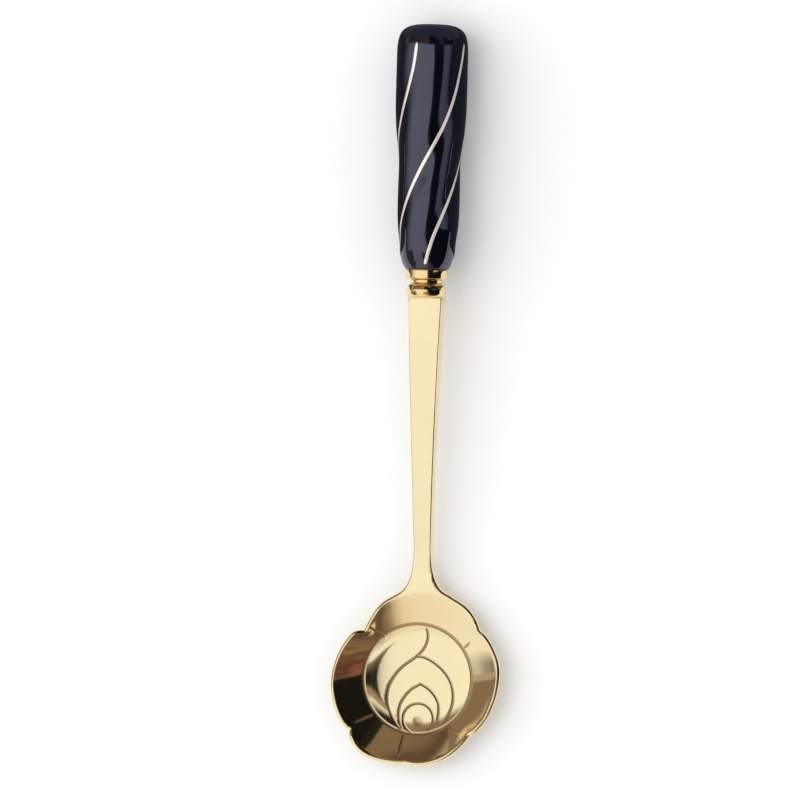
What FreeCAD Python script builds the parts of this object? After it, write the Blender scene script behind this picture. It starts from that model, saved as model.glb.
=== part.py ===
import FreeCAD, Part
import math
import os

# Rose coffee spoon with a glazed ceramic handle.  Millimetres.
# X across the spoon, +Y from the bowl towards the handle, +Z up out of the bowl.
# The spoon rests on the flat foot of its bowl and on the butt of its handle.

os.makedirs("parts", exist_ok=True)
V = FreeCAD.Vector

# ---------------------------------------------------------------- driving dimensions
SHEET = 1.15            # thickness of the metal in the bowl
FLOOR_Z = 1.15          # inner floor of the bowl above the table
FLOOR_R = 11.5          # radius of the engraved floor
DISH = 0.0033           # the floor is a very shallow dish: rise = DISH * r * r
CURL = 0.035            # and it curls up a little more outside CURL_R
CURL_R = 8.6
LIP = 0.95              # width of the rounded lip inside the outline
WALL_IN = 0.55          # slope of the wall beside the floor (before scaling to the height)
WALL_OUT = 0.85         # slope of the wall at the rim (before scaling to the height)
RIM_Z = 5.4             # height of the rim
FLOWER_X = -1.2         # the flower sits a little to one side of the stem line
STEM_END = 79.45        # end of the flat stem, measured from the flower centre
STEM_T_NECK = 1.7       # thickness of the stem at the neck
STEM_T_END = 2.6        # thickness of the stem at the rings
TANG_W = 3.2            # flat tang that carries the rings and the handle
TANG_T = 2.2
TANG_L = 40.0           # tang length beyond the end of the stem
BEAD_R = 4.15           # swollen ring beside the stem
BEAD_L = 3.0
SPACER_R = 3.3          # thin waist between the two rings
SPACER_L = 0.85
COLLAR_R = 4.4          # plain ring that the ceramic sits on
COLLAR_L = 2.15
HANDLE_TILT = 1.1       # degrees, the handle falls towards its butt
BORE_R = 3.2            # blind hole in the ceramic
BORE_L = 37.0
LINE_W = 0.80           # gold line, width across the line
LINE_IN = 0.28          # how deep the gold sits in the glaze
LINE_OUT = 0.04         # how far it stands proud
VALLEY = 0.34           # depth of the four shallow twisted valleys
GROOVE_R = 11.5         # engraved ring round the floor
GROOVE_T = 0.28         # radius of the engraving tool

# ring and handle stations along the handle axis, from the end of the stem
BEAD_0 = 0.0
SPACER_0 = BEAD_0 + BEAD_L
COLLAR_0 = SPACER_0 + SPACER_L
HANDLE_0 = COLLAR_0 + COLLAR_L

# outline of the flower and the neck, flower centre at (FLOWER_X, 0), stem line at x = 0
PETAL_RIGHT = [(12.38, 10.59), (13.34, 9.87), (14.32, 8.75), (15.78, 6.16), (16.77, 3.33),
               (16.86, 0.35), (16.45, -2.57), (15.58, -5.35), (14.36, -7.98),
               (12.76, -10.03), (11.46, -11.17), (10.70, -11.61)]
PETAL_BOTTOM = [(10.70, -11.61), (10.22, -12.34), (9.10, -13.72), (7.31, -15.37),
                (4.65, -17.01), (1.93, -17.89), (-0.62, -18.15), (-2.85, -17.84)]
PETAL_LOW_LEFT = [(-2.85, -17.84), (-4.47, -17.86), (-6.49, -17.74), (-8.86, -17.30),
                  (-11.16, -16.48), (-12.90, -15.35), (-14.05, -14.05), (-14.78, -12.42),
                  (-15.00, -10.93)]
PETAL_LEFT = [(-15.00, -10.93), (-15.85, -10.36), (-16.88, -9.09), (-18.02, -6.74),
              (-18.86, -3.60), (-19.02, -0.38), (-18.60, 2.15), (-17.60, 5.13),
              (-16.38, 7.30), (-15.28, 8.77), (-14.40, 9.61), (-13.47, 9.95), (-12.40, 9.99)]
TOP_LEFT = [(-12.40, 9.99), (-11.98, 10.84), (-11.22, 12.24), (-10.42, 13.54),
            (-9.72, 14.60), (-8.66, 15.74), (-7.25, 16.78), (-5.75, 17.62)]
TOP_RIGHT = [(5.75, 17.78), (6.60, 17.26), (7.55, 16.72), (8.90, 15.86), (10.24, 14.66),
             (11.36, 13.12), (12.04, 11.74), (12.38, 10.59)]
# half width of the neck and the stem
NECK = [(17.78, 5.75), (18.60, 4.35), (20.20, 3.20), (22.70, 2.46), (24.80, 2.18), (27.50, 2.06)]
STEM_HALF = [(27.50, 2.06), (42.0, 2.50), (58.0, 3.10), (79.45, 3.93)]


def smooth(t):
    t = max(0.0, min(1.0, t))
    return t * t * (3.0 - 2.0 * t)


# ---------------------------------------------------------------- handle shape
# radius of the ceramic along its axis (distance from the collar end, radius)
HANDLE_RADIUS = [(0.0, 4.50), (0.40, 4.74), (1.3, 5.22), (2.5, 5.62), (3.8, 5.90), (6.2, 6.15),
                 (8.8, 6.40), (11.3, 6.46), (18.8, 6.46), (21.3, 6.57), (23.8, 6.80),
                 (26.3, 7.05), (28.8, 7.25), (31.3, 7.35), (33.8, 7.42), (43.8, 7.43),
                 (46.3, 7.38), (47.6, 7.21), (48.8, 6.86), (49.9, 6.06), (50.6, 4.80),
                 (50.95, 3.30)]
HANDLE_L = 50.95
# turn of the first gold line along the axis (distance, degrees; 0 faces up, + towards +X)
TWIST = [(0.0, -86.0), (0.4, -85.0), (6.3, -69.0), (14.8, -35.0), (22.8, 3.5),
         (25.3, 15.5), (31.4, 39.5), (38.7, 60.5), (43.5, 70.0), (47.3, 74.0), (51.0, 76.0)]


def pchip(table, x):
    xs = [p[0] for p in table]
    ys = [p[1] for p in table]
    n = len(xs)
    if x <= xs[0]:
        return ys[0]
    if x >= xs[-1]:
        return ys[-1]
    h = [xs[i + 1] - xs[i] for i in range(n - 1)]
    d = [(ys[i + 1] - ys[i]) / h[i] for i in range(n - 1)]
    m = [d[0]]
    for i in range(1, n - 1):
        if d[i - 1] * d[i] <= 0:
            m.append(0.0)
        else:
            w1 = 2 * h[i] + h[i - 1]
            w2 = h[i] + 2 * h[i - 1]
            m.append((w1 + w2) / (w1 / d[i - 1] + w2 / d[i]))
    m.append(d[-1])
    i = 0
    while x > xs[i + 1]:
        i += 1
    t = (x - xs[i]) / h[i]
    return ((2 * t**3 - 3 * t**2 + 1) * ys[i] + (t**3 - 2 * t**2 + t) * h[i] * m[i]
            + (-2 * t**3 + 3 * t**2) * ys[i + 1] + (t**3 - t**2) * h[i] * m[i + 1])


def handle_radius(s, phi_deg):
    """Ceramic radius at distance s from the collar; phi 0 faces up, + is towards +X."""
    r = pchip(HANDLE_RADIUS, s)
    depth = VALLEY * smooth((s - 0.5) / 7.0) * smooth((HANDLE_L - 2.0 - s) / 9.0)
    a = math.radians(phi_deg - pchip(TWIST, s))
    c = 0.5 + 0.5 * math.cos(4.0 * a)      # 1 on a line, 0 on the crown between lines
    return r - depth * c ** 1.5


def on_handle(s, phi_deg, r):
    """Point in the handle's own frame: its axis is +Y and starts at the stem's end."""
    p = math.radians(phi_deg)
    return V(r * math.sin(p), HANDLE_0 + s, r * math.cos(p))


def make_handle_body():
    stations = [0.0, 1.3, 2.8, 5.0, 8.0, 11.3, 14.5, 17.8, 21.0, 24.0, 27.0, 30.0, 33.0, 36.5,
                40.0, 43.5, 46.3, 48.1, 49.4, 50.3, HANDLE_L]
    wires = []
    n = 32
    for s in stations:
        pts = [on_handle(s, 360.0 * i / n, handle_radius(s, 360.0 * i / n)) for i in range(n)]
        c = Part.BSplineCurve()
        c.interpolate(Points=pts, PeriodicFlag=True)
        wires.append(Part.Wire([c.toShape()]))
    return Part.makeLoft(wires, True, False, False, 3)


def make_line(offset_deg, proud):
    """One gold line: a thin strip let into the glaze along the bottom of a valley."""
    s0, s1, n = 0.9, 46.9, 40
    wires = []
    for i in range(n + 1):
        s = s0 + (s1 - s0) * i / n
        phi = pchip(TWIST, s) + offset_deg
        slope = math.radians(pchip(TWIST, s + 0.2) - pchip(TWIST, s - 0.2)) / 0.4
        r = handle_radius(s, phi)
        half = math.degrees(0.5 * LINE_W * math.sqrt(1.0 + (slope * r) ** 2) / r)
        q = [on_handle(s, phi - half, r - LINE_IN), on_handle(s, phi + half, r - LINE_IN),
             on_handle(s, phi + half, r + proud), on_handle(s, phi - half, r + proud)]
        wires.append(Part.makePolygon(q + [q[0]]))
    return Part.makeLoft(wires, True, False, False, 3)


# the handle group is built about +Y, then tilted and set so that the butt touches the table
handle_raw = make_handle_body()
tilt = FreeCAD.Placement(V(0, 0, 0), FreeCAD.Rotation(V(1, 0, 0), -HANDLE_TILT))
lines_raw = [make_line(90.0 * i, LINE_OUT) for i in range(4)]
channels = [make_line(90.0 * i, 0.6) for i in range(4)]
probe = handle_raw.copy()
probe.Placement = tilt
axis_z = -probe.optimalBoundingBox(False, False).ZMin + 0.005
for l in lines_raw:
    probe = l.copy()
    probe.Placement = tilt
    print("gold line clears the table by", round(axis_z + probe.optimalBoundingBox(False, False).ZMin, 3))
GROUP = FreeCAD.Placement(V(0, STEM_END, axis_z), FreeCAD.Rotation(V(1, 0, 0), -HANDLE_TILT))
print("handle axis height at the end of the stem", round(axis_z, 3))


def place(shape):
    s = shape.copy()
    s.Placement = GROUP.multiply(s.Placement)
    return s


# ---------------------------------------------------------------- bowl and stem heights
STEM_Z = [(12.0, 4.80), (18.0, 5.35), (24.0, 6.00), (33.0, 7.10), (45.0, 8.35), (57.0, 9.30),
          (68.0, 9.75), (STEM_END, axis_z + 0.5 * STEM_T_END)]


def stem_top(y):
    return pchip(STEM_Z, y)


def floor_rise(r):
    return DISH * r * r + CURL * max(0.0, r - CURL_R) ** 2


def rim_table(spread):
    """Rim radius about the flower centre every 5 degrees, with the notches softened."""
    pts = []
    for petal in (TOP_RIGHT[3:], PETAL_RIGHT, PETAL_BOTTOM, PETAL_LOW_LEFT, PETAL_LEFT,
                  TOP_LEFT[:5]):
        for (xa, ya), (xb, yb) in zip(petal[:-1], petal[1:]):
            for i in range(6):
                x, y = xa + (xb - xa) * i / 6.0, ya + (yb - ya) * i / 6.0
                pts.append((math.degrees(math.atan2(y, x - FLOWER_X)) % 360.0,
                            math.hypot(x - FLOWER_X, y)))
    pts += [(60.0, 18.9), (67.0, 19.0), (75.0, 19.0), (83.0, 18.8), (92.0, 18.5), (100.0, 18.3),
            (108.0, 17.9)]
    table = []
    for a in range(0, 360, 5):
        w = s = 0.0
        for b, r in pts:
            d = (b - a + 180.0) % 360.0 - 180.0
            g = math.exp(-0.5 * (d / spread) ** 2)
            w += g
            s += g * r
        table.append(s / w)
    return table


RIM_NEAR = rim_table(3.5)       # follows the notches, used at the lip
RIM_FAR = rim_table(13.0)       # nearly round, used lower down the wall


def rim_radius(x, y):
    r = math.hypot(x - FLOWER_X, y)
    a = math.degrees(math.atan2(y, x - FLOWER_X)) % 360.0 / 5.0
    i = int(a)
    f = a - i
    f = f * f * (3.0 - 2.0 * f)
    near = RIM_NEAR[i % 72] * (1.0 - f) + RIM_NEAR[(i + 1) % 72] * f
    far = RIM_FAR[i % 72] * (1.0 - f) + RIM_FAR[(i + 1) % 72] * f
    return far + 0.4 * (near - far) * smooth((r - near + 3.2) / 2.4)


def bowl_top(x, y):
    r = math.hypot(x - FLOWER_X, y)
    if r <= FLOOR_R:
        return FLOOR_Z + floor_rise(r)
    edge = FLOOR_Z + floor_rise(FLOOR_R)
    t = (r - FLOOR_R) / (rim_radius(x, y) - LIP - FLOOR_R)
    mean = 0.5 * (WALL_IN + WALL_OUT)
    g = (WALL_IN * t + 0.5 * (WALL_OUT - WALL_IN) * t * t) / mean
    if t > 1.0:
        g = 1.0 + (t - 1.0) * 0.15 * WALL_OUT / mean
    return edge + (RIM_Z - edge) * g


def top(x, y):
    w = smooth((y - 11.5) / 9.5)
    return (1.0 - w) * min(bowl_top(x, y), RIM_Z + 1.5) + w * stem_top(y)


def thickness(y):
    return SHEET + (STEM_T_NECK - SHEET) * smooth((y - 12.0) / 12.0) + \
        (STEM_T_END - STEM_T_NECK) * smooth((y - 22.0) / (STEM_END - 22.0))


def bottom(x, y):
    e = 0.2
    gx = (top(x + e, y) - top(x - e, y)) / (2 * e)
    gy = (top(x, y + e) - top(x, y - e)) / (2 * e)
    return top(x, y) - thickness(y) * math.sqrt(1.0 + gx * gx + gy * gy) - 0.45 * \
        (1.0 - smooth((math.hypot(x - FLOWER_X, y) - 8.5) / 3.5))


def field(f, xs, ys, z_to):
    """Solid between a height field and a level."""
    grid = [[V(x, y, f(x, y)) for y in ys] for x in xs]
    s = Part.BSplineSurface()
    s.interpolate(grid)
    face = s.toShape()
    return face.extrude(V(0, 0, z_to))


XS = [-21.0 + 1.2 * i for i in range(35)]
YS = [-20.5 + 1.2 * i for i in range(41)] + [29.5, 31.5, 34.0, 38.0, 42.0, 46.0, 50.0, 54.0, 58.0,
                                            62.0, 66.0, 70.0, 74.0, 78.0, 82.0]


def spline(points):
    c = Part.BSplineCurve()
    c.interpolate([V(x, y, 0) for x, y in points])
    return c.toShape()


def floor_z(x, y):
    return FLOOR_Z + DISH * ((x - FLOWER_X) ** 2 + y * y)


def tilt_dir(x, y):
    """Direction square to the dished floor."""
    return V(-2 * DISH * (x - FLOWER_X), -2 * DISH * y, 1)


def make_blank():
    neck_r = [(h, y) for y, h in NECK]
    neck_l = [(-h, y) for y, h in NECK]
    stem_pts = [(h, y) for y, h in STEM_HALF]
    # one curve from the stem down over the right shoulder, and its fellow on the left
    right = list(reversed(neck_r)) + TOP_RIGHT[1:]
    left = TOP_LEFT + neck_l[1:]
    edges = [spline(right), spline(PETAL_RIGHT), spline(PETAL_BOTTOM), spline(PETAL_LOW_LEFT),
             spline(PETAL_LEFT), spline(left)]
    loop = [(-h, y) for h, y in stem_pts] + [(h, y) for h, y in reversed(stem_pts)]
    for a, b in zip(loop[:-1], loop[1:]):
        edges.append(Part.LineSegment(V(a[0], a[1], 0), V(b[0], b[1], 0)).toShape())
    wire = Part.Wire(Part.__sortEdges__(edges))
    prism = Part.Face(wire).extrude(V(0, 0, 16.0))
    above = field(top, XS, YS, 30.0)
    below = field(bottom, XS, YS, -30.0)
    blank = prism.cut(above).cut(below)
    blank = max(blank.Solids, key=lambda s: s.Volume)
    # engraved ring and small ring on the floor, and the dimple at the heart of the rose
    ring = Part.makeTorus(GROOVE_R, GROOVE_T, V(FLOWER_X, 0, bowl_top(FLOWER_X + GROOVE_R, 0) + 0.12))
    small = Part.makeTorus(3.2, 0.26, V(-0.96, -8.30, 0), tilt_dir(-0.96, -8.30))
    small.translate(V(0, 0, floor_z(-0.96, -8.30) + 0.12 + DISH * 3.2 ** 2))
    blank = blank.cut(ring).cut(small)
    dimple = Part.makeSphere(4.9, V(-1.03, -8.92, floor_z(-1.03, -8.92) + 4.9 - 0.14))
    blank = blank.cut(dimple)
    return max(blank.Solids, key=lambda s: s.Volume)


blank = make_blank()

# ---------------------------------------------------------------- rings, tang, bore
tang = place(Part.makeBox(TANG_W, TANG_L, TANG_T, V(-TANG_W / 2, 0, -TANG_T / 2)))
tang_root = place(Part.makeBox(TANG_W, TANG_L + 3.0, TANG_T, V(-TANG_W / 2, -3.0, -TANG_T / 2)))


def disc(radius, length, start, edge):
    c = Part.makeCylinder(radius, length, V(0, start, 0), V(0, 1, 0))
    return c.makeFillet(edge, [e for e in c.Edges if isinstance(e.Curve, Part.Circle)])


end_cut = place(Part.makeBox(30, 30, 30, V(-15, 0, -15)))
blank = blank.cut(end_cut)
blank = max(blank.Solids, key=lambda s: s.Volume).fuse(tang_root).removeSplitter()
bead = place(disc(BEAD_R, BEAD_L, BEAD_0, 1.05)).cut(tang)
spacer = place(disc(SPACER_R, SPACER_L, SPACER_0, 0.2)).cut(tang)
collar = place(disc(COLLAR_R, COLLAR_L, COLLAR_0, 0.35)).cut(tang)

bore = Part.makeCylinder(BORE_R, BORE_L, V(0, HANDLE_0, 0), V(0, 1, 0))
handle = handle_raw.cut(bore)
for c in channels:
    handle = handle.cut(c)
handle = max(handle.Solids, key=lambda s: s.Volume)
handle = place(handle)
lines = [place(l) for l in lines_raw]
adhesive = place(bore).cut(tang)

nodes = {
    "bowl_and_stem": [blank],
    "bead_ring": [bead],
    "spacer_ring": [spacer],
    "collar_ring": [collar],
    "ceramic_handle": [handle],
    "gold_spiral_lines": lines,
    "adhesive_fill": [adhesive],
}

# ---------------------------------------------------------------- frame: centre of the box
solids = {n: [x for s in l for x in s.Solids] for n, l in nodes.items()}
box = None
for l in solids.values():
    for s in l:
        b = s.optimalBoundingBox(False, False)
        if box is None:
            box = FreeCAD.BoundBox(b)
        else:
            box.add(b)
shift = V(-(box.XMin + box.XMax) / 2, -(box.YMin + box.YMax) / 2, -box.ZMin)
print("box", [round(v, 3) for v in (box.XMin, box.XMax, box.YMin, box.YMax, box.ZMin, box.ZMax)])
print("shift", [round(v, 3) for v in shift])

for name, l in solids.items():
    moved = []
    for s in l:
        s = s.copy()
        s.translate(shift)
        moved.append(s)
        print(name, s.ShapeType, s.isValid(), round(s.Volume, 2))
    shape = moved[0] if len(moved) == 1 else Part.makeCompound(moved)
    shape.exportStep("parts/" + name + ".step")
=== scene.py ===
import math

import bmesh
import bpy
import numpy as np
from mathutils import Matrix, Vector
from mathutils.geometry import delaunay_2d_cdt


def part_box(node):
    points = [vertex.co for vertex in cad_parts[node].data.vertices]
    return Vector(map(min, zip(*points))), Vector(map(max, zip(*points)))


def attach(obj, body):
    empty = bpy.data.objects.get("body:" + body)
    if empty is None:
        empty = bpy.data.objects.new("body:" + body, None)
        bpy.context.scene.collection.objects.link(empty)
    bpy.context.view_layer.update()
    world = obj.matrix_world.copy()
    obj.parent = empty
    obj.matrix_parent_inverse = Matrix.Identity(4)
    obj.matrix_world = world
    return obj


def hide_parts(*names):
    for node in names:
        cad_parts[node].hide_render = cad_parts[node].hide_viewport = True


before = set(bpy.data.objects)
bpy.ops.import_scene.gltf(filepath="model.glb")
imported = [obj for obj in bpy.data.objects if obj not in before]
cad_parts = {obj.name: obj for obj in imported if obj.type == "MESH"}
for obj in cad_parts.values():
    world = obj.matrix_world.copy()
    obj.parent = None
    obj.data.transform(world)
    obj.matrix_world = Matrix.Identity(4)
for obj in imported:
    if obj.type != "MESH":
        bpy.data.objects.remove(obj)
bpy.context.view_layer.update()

MM = 0.001

# ------------------------------------------------------------------ frame of the parts
# The stem line is x = 0 and the flower centre lies at (FLOWER_X, 0), as in the CAD.
blank_lo, blank_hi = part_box("bowl_and_stem")
OX = blank_lo[0] / MM + 19.053
OY = blank_lo[1] / MM + 18.151
FLOWER_X = -1.2
SHEET, FLOOR_Z, FLOOR_R, RIM_Z = 1.15, 1.15, 11.5, 5.4
DISH, CURL, CURL_R, LIP, GROOVE_R = 0.0033, 0.035, 8.6, 0.95, 11.5
STEM_END, STEM_T_NECK, STEM_T_END = 79.45, 1.7, 2.6
HANDLE_TILT, AXIS_Z = 1.1, 8.350
BEAD_L, SPACER_L, COLLAR_L = 3.0, 0.85, 2.15
HANDLE_0 = BEAD_L + SPACER_L + COLLAR_L
HANDLE_L = 50.95
VALLEY = 0.34


def smooth(t):
    t = np.clip(t, 0.0, 1.0)
    return t * t * (3.0 - 2.0 * t)


def pchip(table, x):
    """Monotone cubic through a table, for a number or an array."""
    xs = np.array([p[0] for p in table], float)
    ys = np.array([p[1] for p in table], float)
    h = np.diff(xs)
    d = np.diff(ys) / h
    m = np.empty(len(xs))
    m[0], m[-1] = d[0], d[-1]
    for i in range(1, len(xs) - 1):
        if d[i - 1] * d[i] <= 0:
            m[i] = 0.0
        else:
            w1, w2 = 2 * h[i] + h[i - 1], h[i] + 2 * h[i - 1]
            m[i] = (w1 + w2) / (w1 / d[i - 1] + w2 / d[i])
    x = np.clip(np.asarray(x, float), xs[0], xs[-1])
    i = np.clip(np.searchsorted(xs, x, side="right") - 1, 0, len(h) - 1)
    t = (x - xs[i]) / h[i]
    return ((2 * t**3 - 3 * t**2 + 1) * ys[i] + (t**3 - 2 * t**2 + t) * h[i] * m[i]
            + (-2 * t**3 + 3 * t**2) * ys[i + 1] + (t**3 - t**2) * h[i] * m[i + 1])


def spline(points, step, closed=False):
    """Points every `step` along a smooth curve through `points` (chord-length C2 spline)."""
    p = np.array(points, float)
    if closed:
        p = np.vstack([p, p[:1]])
    t = np.concatenate([[0], np.cumsum(np.linalg.norm(np.diff(p, axis=0), axis=1))])
    n = len(t)
    h = np.diff(t)
    fine = []
    for k in range(p.shape[1]):
        a = np.zeros((n, n))
        r = np.zeros(n)
        a[0, 0] = a[-1, -1] = 1.0
        if closed:
            a[0, :] = 0
            a[0, 0], a[0, 1] = 2 * (h[-1] + h[0]), h[0]
            a[0, n - 2] = h[-1]
            r[0] = 6 * ((p[1, k] - p[0, k]) / h[0] - (p[0, k] - p[n - 2, k]) / h[-1])
            a[-1, 0], a[-1, -1] = -1.0, 1.0
        for i in range(1, n - 1):
            a[i, i - 1], a[i, i], a[i, i + 1] = h[i - 1], 2 * (h[i - 1] + h[i]), h[i]
            r[i] = 6 * ((p[i + 1, k] - p[i, k]) / h[i] - (p[i, k] - p[i - 1, k]) / h[i - 1])
        m = np.linalg.solve(a, r)
        s = np.linspace(0, t[-1], max(3, int(round(t[-1] / step)) * 4) + 1)
        i = np.clip(np.searchsorted(t, s, side="right") - 1, 0, n - 2)
        u, w = t[i + 1] - s, s - t[i]
        fine.append((m[i] * u**3 + m[i + 1] * w**3) / (6 * h[i])
                    + (p[i, k] / h[i] - m[i] * h[i] / 6) * u
                    + (p[i + 1, k] / h[i] - m[i + 1] * h[i] / 6) * w)
    q = np.stack(fine, axis=1)
    length = np.concatenate([[0], np.cumsum(np.linalg.norm(np.diff(q, axis=0), axis=1))])
    count = max(2, int(round(length[-1] / step)))
    want = np.linspace(0, length[-1], count + 1)
    out = np.stack([np.interp(want, length, q[:, k]) for k in range(q.shape[1])], axis=1)
    return out[:-1] if closed else out


# ------------------------------------------------------------------ outline of the flower
PETAL_RIGHT = [(12.38, 10.59), (13.34, 9.87), (14.32, 8.75), (15.78, 6.16), (16.77, 3.33),
               (16.86, 0.35), (16.45, -2.57), (15.58, -5.35), (14.36, -7.98),
               (12.76, -10.03), (11.46, -11.17), (10.70, -11.61)]
PETAL_BOTTOM = [(10.70, -11.61), (10.22, -12.34), (9.10, -13.72), (7.31, -15.37),
                (4.65, -17.01), (1.93, -17.89), (-0.62, -18.15), (-2.85, -17.84)]
PETAL_LOW_LEFT = [(-2.85, -17.84), (-4.47, -17.86), (-6.49, -17.74), (-8.86, -17.30),
                  (-11.16, -16.48), (-12.90, -15.35), (-14.05, -14.05), (-14.78, -12.42),
                  (-15.00, -10.93)]
PETAL_LEFT = [(-15.00, -10.93), (-15.85, -10.36), (-16.88, -9.09), (-18.02, -6.74),
              (-18.86, -3.60), (-19.02, -0.38), (-18.60, 2.15), (-17.60, 5.13),
              (-16.38, 7.30), (-15.28, 8.77), (-14.40, 9.61), (-13.47, 9.95), (-12.40, 9.99)]
TOP_LEFT = [(-12.40, 9.99), (-11.98, 10.84), (-11.22, 12.24), (-10.42, 13.54),
            (-9.72, 14.60), (-8.66, 15.74), (-7.25, 16.78), (-5.75, 17.62)]
TOP_RIGHT = [(5.75, 17.78), (6.60, 17.26), (7.55, 16.72), (8.90, 15.86), (10.24, 14.66),
             (11.36, 13.12), (12.04, 11.74), (12.38, 10.59)]
NECK = [(17.78, 5.75), (18.60, 4.35), (20.20, 3.20), (22.70, 2.46), (24.80, 2.18), (27.50, 2.06)]


def outline():
    neck_r = [(h, y) for y, h in NECK]
    neck_l = [(-h, y) for y, h in NECK]
    right = spline(list(reversed(neck_r)) + TOP_RIGHT[1:], 0.24)
    left = spline(TOP_LEFT + neck_l[1:], 0.24)
    parts = [right, spline(PETAL_RIGHT, 0.24), spline(PETAL_BOTTOM, 0.24),
             spline(PETAL_LOW_LEFT, 0.24), spline(PETAL_LEFT, 0.24), left]
    ys = np.linspace(27.5, STEM_END, 66)[1:]
    hs = np.interp(ys, [27.5, 42.0, 58.0, STEM_END], [2.06, 2.50, 3.10, 3.93])
    up = np.stack([-hs, ys], axis=1)
    down = np.stack([hs, ys], axis=1)[::-1]
    pts = [down[:-1] if len(down) else down]
    pts = []
    for part in parts:
        pts.append(part[:-1])
    pts.append(left[-1:])
    pts.append(up)
    pts.append(down)
    return np.vstack(pts)


# radius of the rim about the flower centre, smoothed, for the shape of the wall
def rim_radius_table(spread):
    o = np.vstack([spline(p, 0.1) for p in (TOP_RIGHT[3:], PETAL_RIGHT, PETAL_BOTTOM,
                                            PETAL_LOW_LEFT, PETAL_LEFT, TOP_LEFT[:5])])
    a = np.degrees(np.arctan2(o[:, 1], o[:, 0] - FLOWER_X)) % 360.0
    r = np.hypot(o[:, 0] - FLOWER_X, o[:, 1])
    k = np.argsort(a)
    a, r = a[k], r[k]
    grid = np.arange(0.0, 360.0, 0.5)
    v = np.interp(grid, a, r, period=360.0)
    top_zone = (grid > 60) & (grid < 116)
    v[top_zone] = np.interp(grid[top_zone], [60, 75, 100, 116], [18.9, 19.0, 18.3, 17.4])
    k = np.arange(-90, 91) * 0.5
    g = np.exp(-0.5 * (k / spread) ** 2)
    g /= g.sum()
    v = np.convolve(np.concatenate([v[-90:], v, v[:90]]), g, mode="valid")
    return grid, v


RIM_A, RIM_NEAR = rim_radius_table(3.5)
RIM_A, RIM_FAR = rim_radius_table(13.0)


def rim_radius(x, y):
    r = np.hypot(x - FLOWER_X, y)
    a = np.degrees(np.arctan2(y, x - FLOWER_X)) % 360.0
    near = np.interp(a, RIM_A, RIM_NEAR, period=360.0)
    far = np.interp(a, RIM_A, RIM_FAR, period=360.0)
    return far + 0.4 * (near - far) * smooth((r - near + 3.2) / 2.4)


def floor_rise(r):
    return DISH * r * r + CURL * np.maximum(0.0, r - CURL_R) ** 2


STEM_Z = [(12.0, 4.80), (18.0, 5.35), (24.0, 6.00), (33.0, 7.10), (45.0, 8.35), (57.0, 9.30),
          (68.0, 9.75), (STEM_END, AXIS_Z + 0.5 * STEM_T_END)]

WALL_IN, WALL_OUT = 0.55, 0.85      # slope of the wall beside the floor and at the rim


def plain_top(x, y):
    """Upper surface of the blank without the engraving."""
    x, y = np.asarray(x, float), np.asarray(y, float)
    r = np.hypot(x - FLOWER_X, y)
    floor = FLOOR_Z + floor_rise(np.minimum(r, FLOOR_R))
    rim = rim_radius(x, y) - LIP
    t = np.maximum(0.0, r - FLOOR_R) / (rim - FLOOR_R)
    rise = RIM_Z - FLOOR_Z - floor_rise(FLOOR_R)
    mean = 0.5 * (WALL_IN + WALL_OUT)
    g = (WALL_IN * t + 0.5 * (WALL_OUT - WALL_IN) * t * t) / mean
    g = np.where(t > 1.0, 1.0 + (t - 1.0) * 0.5 * WALL_OUT / mean, g)
    ease = 1.0 - np.exp(-np.maximum(0.0, r - FLOOR_R) / 0.35)
    wall = floor + rise * g * (0.25 + 0.75 * ease)
    bowl = np.minimum(wall, RIM_Z + 1.5)
    w = smooth((y - 11.0) / 10.5)
    return (1.0 - w) * bowl + w * pchip(STEM_Z, y)


def thickness(y):
    return (SHEET + (STEM_T_NECK - SHEET) * smooth((y - 12.0) / 12.0)
            + (STEM_T_END - STEM_T_NECK) * smooth((y - 22.0) / (STEM_END - 22.0)))


def gradient(f, x, y, e=0.02):
    return ((f(x + e, y) - f(x - e, y)) / (2 * e), (f(x, y + e) - f(x, y - e)) / (2 * e))


def plain_bottom(x, y):
    gx, gy = gradient(plain_top, x, y, 0.15)
    z = plain_top(x, y) - thickness(y) * np.sqrt(1.0 + gx * gx + gy * gy)
    r = np.hypot(x - FLOWER_X, y)
    z = z - 0.45 * (1.0 - smooth((r - 8.5) / 3.5))
    # a soft knee at the edge of the flat foot
    return 0.5 * (z + np.sqrt(z * z + 0.004)) - 0.0316


# ------------------------------------------------------------------ engraving
def circle(cx, cy, r, step=0.2, a0=0.0, a1=360.0):
    n = max(8, int(math.radians(a1 - a0) * r / step))
    a = np.radians(np.linspace(a0, a1, n + 1))
    return np.stack([cx + r * np.cos(a), cy + r * np.sin(a)], axis=1)


S_CURVE = [(0.42, 10.98), (0.78, 9.23), (0.38, 7.20), (-0.61, 5.65), (-1.88, 4.48), (-3.66, 3.19),
           (-5.65, 1.25), (-6.90, -0.81), (-7.57, -3.35), (-7.17, -6.39), (-6.10, -8.65),
           (-4.38, -11.01)]
OUTER_ARC = [(-1.71, 4.65), (-0.84, 4.69), (0.97, 4.16), (3.06, 2.82), (4.88, 0.96), (5.96, -1.05),
             (6.38, -3.06), (6.18, -5.35), (5.06, -7.90), (3.83, -9.70)]
INNER_LEFT = [(-0.60, -1.05), (-2.25, -1.97), (-3.77, -3.52), (-4.75, -5.32), (-5.09, -7.35),
              (-4.79, -9.37), (-4.12, -11.13)]
INNER_RIGHT = [(-0.60, -1.05), (1.10, -2.04), (2.40, -3.40), (3.20, -4.91), (3.38, -6.68),
               (3.02, -8.71), (2.78, -9.47)]
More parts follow.
